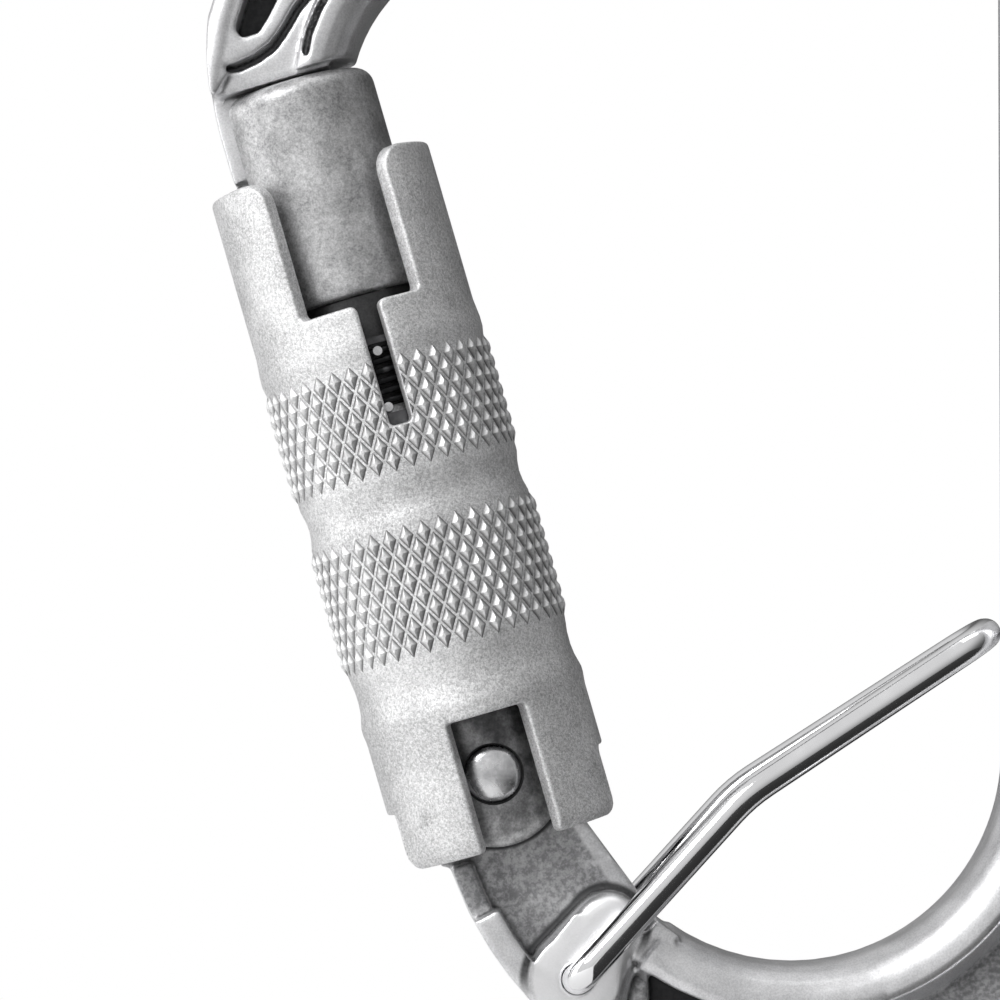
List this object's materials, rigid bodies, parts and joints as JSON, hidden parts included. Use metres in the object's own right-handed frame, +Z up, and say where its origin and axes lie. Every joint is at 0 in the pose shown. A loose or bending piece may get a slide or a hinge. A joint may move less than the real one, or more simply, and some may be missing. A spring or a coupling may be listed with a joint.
{
  "type": "locking carabiner",
  "caption": "Forged locking carabiner with a sprung gate, a pull-and-turn locking sleeve and a wire that closes off the lower eye.",
  "frame": {"origin": "rope seat: the highest point of the inside of the top basket, midway through the thickness", "axes": "+Z up along the spine, +X from the gate to the spine, +Y through the thickness away from the viewer"},
  "size_m": [0.0743, 0.0184, 0.1128],
  "materials": {
    "forged_aluminium": "tumbled satin",
    "barrel_aluminium": "mottled satin",
    "blasted_aluminium": "bead blasted",
    "rivet_steel": "polished",
    "polished_wire": "mirror polished",
    "black_spring": "black oxide",
    "inner_steel": "plain turned",
    "bush_brass": "plain turned"
  },
  "bodies": {
    "frame_body": {"frame": "forged_aluminium"},
    "gate": {"gate_barrel": "barrel_aluminium", "hinge_rivet": "rivet_steel", "spring_seat": "barrel_aluminium", "guide_pins": "inner_steel", "gate_spring": "inner_steel"},
    "plunger": {"gate_plunger": "inner_steel"},
    "sleeve_slider": {"slide_collar": "bush_brass", "thrust_washer": "inner_steel", "sleeve_spring": "black_spring"},
    "sleeve": {"locking_sleeve": "blasted_aluminium", "collar_ring": "inner_steel"},
    "keeper": {"keeper_wire": "polished_wire"}
  },
  "joints": [
    {"name": "gate_swing", "type": "hinge", "parent": "frame_body", "child": "gate", "pos_m": [-0.02017, 0, -0.07434], "axis": [0, 1, 0], "range_deg": [0, 22], "stiffness_Nm_per_rad": 0.08, "springref_deg": -34.38},
    {"name": "plunger_slide", "type": "slide", "parent": "gate", "child": "plunger", "axis": [-0.279, 0, 0.9603], "range_m": [0, 0.00085], "deforming": ["gate_spring"]},
    {"name": "sleeve_pull", "type": "slide", "parent": "gate", "child": "sleeve_slider", "axis": [0.279, 0, -0.9603], "range_m": [0, 0.002], "stiffness_N_per_m": 600, "springref_m": -0.004, "deforming": ["sleeve_spring"]},
    {"name": "sleeve_turn", "type": "hinge", "parent": "sleeve_slider", "child": "sleeve", "pos_m": [-0.02017, 0, -0.07434], "axis": [-0.279, 0, 0.9603], "range_deg": [0, 85], "stiffness_Nm_per_rad": 0.02, "springref_deg": -45.84},
    {"name": "keeper_swing", "type": "hinge", "parent": "frame_body", "child": "keeper", "pos_m": [-0.01367, 0, -0.09024], "axis": [0, -1, 0], "range_deg": [0, 18], "stiffness_Nm_per_rad": 0.03, "springref_deg": -28.65}
  ],
  "couplings": [
    {"joint": "plunger_slide", "follows": "gate_swing", "m_per_rad": 0.0022137}
  ]
}
